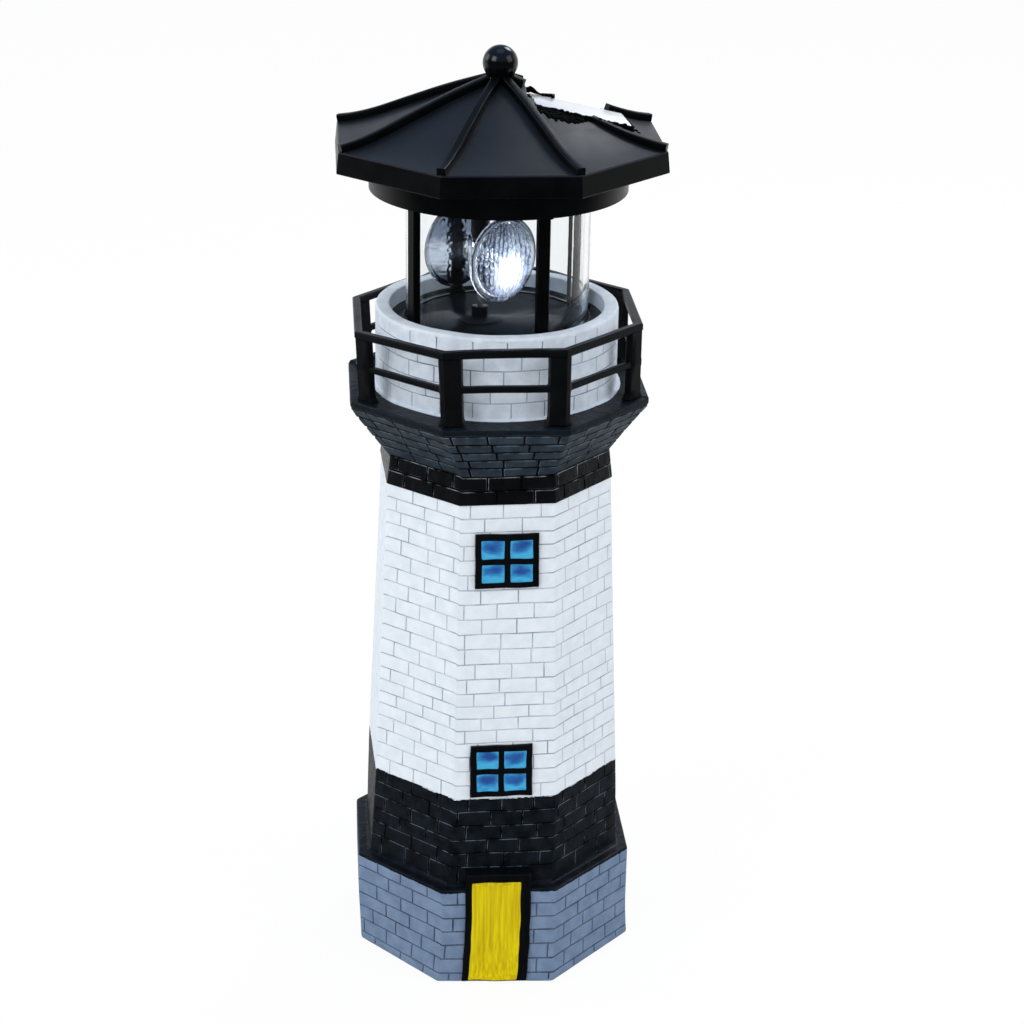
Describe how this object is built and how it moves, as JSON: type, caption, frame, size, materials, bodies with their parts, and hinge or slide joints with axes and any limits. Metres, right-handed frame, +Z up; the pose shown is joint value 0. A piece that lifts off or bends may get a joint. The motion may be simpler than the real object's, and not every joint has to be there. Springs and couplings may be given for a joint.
{
  "type": "garden lighthouse ornament",
  "caption": "Garden lighthouse ornament: octagonal brick-relief tower with a railed gallery and a lift-out solar lantern whose twin lens is turned by a geared motor round a lamp.",
  "frame": {"origin": "middle of the underside, on the ground and on the tower's axis", "axes": "+Z up along the tower, -Y out of the door's side, +X towards the solar panel's side"},
  "size_m": [0.1202, 0.1202, 0.36],
  "materials": {
    "cast_resin": "polyresin casting, matt acrylic paint: white, black, slate blue, yellow and blue",
    "base_plate_plastic": "flat black sheet, fine grain",
    "railing_plastic": "gloss black moulding",
    "black_abs": "satin black ABS",
    "gloss_black_abs": "gloss black ABS",
    "roof_abs": "fine spark-textured black ABS",
    "clear_styrene": "clear moulded styrene tube",
    "lens_styrene": "clear moulded styrene",
    "lens_facets": "clear styrene with moulded facets",
    "zinc_steel": "zinc-plated steel",
    "nickel_plate": "nickel-plated steel",
    "solar_laminate": "epoxy-laminated solar cells",
    "black_sealant": "smeared black sealant",
    "wire_red": "red wire insulation",
    "wire_black": "black wire insulation",
    "cell_wrap": "shrink-wrapped cell",
    "board_green": "solder mask",
    "board_parts_black": "component bodies",
    "lamp_epoxy": "clear epoxy lamp",
    "gear_acetal": "natural acetal"
  },
  "bodies": {
    "tower": {"tower_casting": "cast_resin", "base_plate": "base_plate_plastic", "railing_posts": "railing_plastic", "top_rail": "railing_plastic", "mid_rail": "railing_plastic"},
    "lantern": {"lantern_tray": "black_abs", "clear_tube": "clear_styrene", "cage_posts": "gloss_black_abs", "drum_housing": "gloss_black_abs", "roof_cap": "roof_abs", "roof_screws": "zinc_steel", "finial": "gloss_black_abs", "solar_panel": "solar_laminate", "panel_sealant": "black_sealant", "panel_leads": "wire_red", "battery_cell": "cell_wrap", "battery_contacts": "nickel_plate", "power_leads": "wire_red", "circuit_board": "board_green", "board_parts": "board_parts_black", "switch_body": "nickel_plate", "led_stem": "black_abs", "led_lamp": "lamp_epoxy", "led_leads": "nickel_plate", "drive_cover": "black_abs", "cover_screws": "zinc_steel", "gear_plate": "gear_acetal", "plate_screws": "zinc_steel", "motor_can": "zinc_steel", "motor_screws": "zinc_steel", "motor_leads": "wire_black", "idler_pin": "zinc_steel"},
    "switch_knob": {"switch_slider": "black_abs"},
    "lens_rotor": {"output_gear": "gear_acetal", "lens_spindle": "zinc_steel", "lens_yoke": "lens_styrene", "lens_cup_a": "lens_styrene", "lens_cup_b": "lens_styrene", "lens_face_a": "lens_facets", "lens_face_b": "lens_facets"},
    "idler": {"idler_gear": "gear_acetal"},
    "motor_rotor": {"motor_shaft": "zinc_steel", "motor_pinion": "gear_acetal"}
  },
  "joints": [
    {"name": "lantern_lift", "type": "slide", "parent": "tower", "child": "lantern", "axis": [0, 0, 1], "range_m": [0, 0.031]},
    {"name": "switch_slide", "type": "slide", "parent": "lantern", "child": "switch_knob", "axis": [1, 0, 0], "range_m": [-0.003, 0]},
    {"name": "lens_spin", "type": "hinge", "parent": "lantern", "child": "lens_rotor", "pos_m": [-0.0067, -0.002, 0.283], "axis": [0, 0, 1], "continuous": true},
    {"name": "idler_spin", "type": "hinge", "parent": "lantern", "child": "idler", "pos_m": [0.00577, 0.0052, 0.25], "axis": [0, 0, 1], "continuous": true},
    {"name": "motor_spin", "type": "hinge", "parent": "lantern", "child": "motor_rotor", "pos_m": [0.01297, -0.00727, 0.248], "axis": [0, 0, 1], "continuous": true}
  ],
  "couplings": [
    {"joint": "idler_spin", "follows": "lens_spin", "ratio": -3},
    {"joint": "motor_spin", "follows": "lens_spin", "ratio": 9}
  ]
}
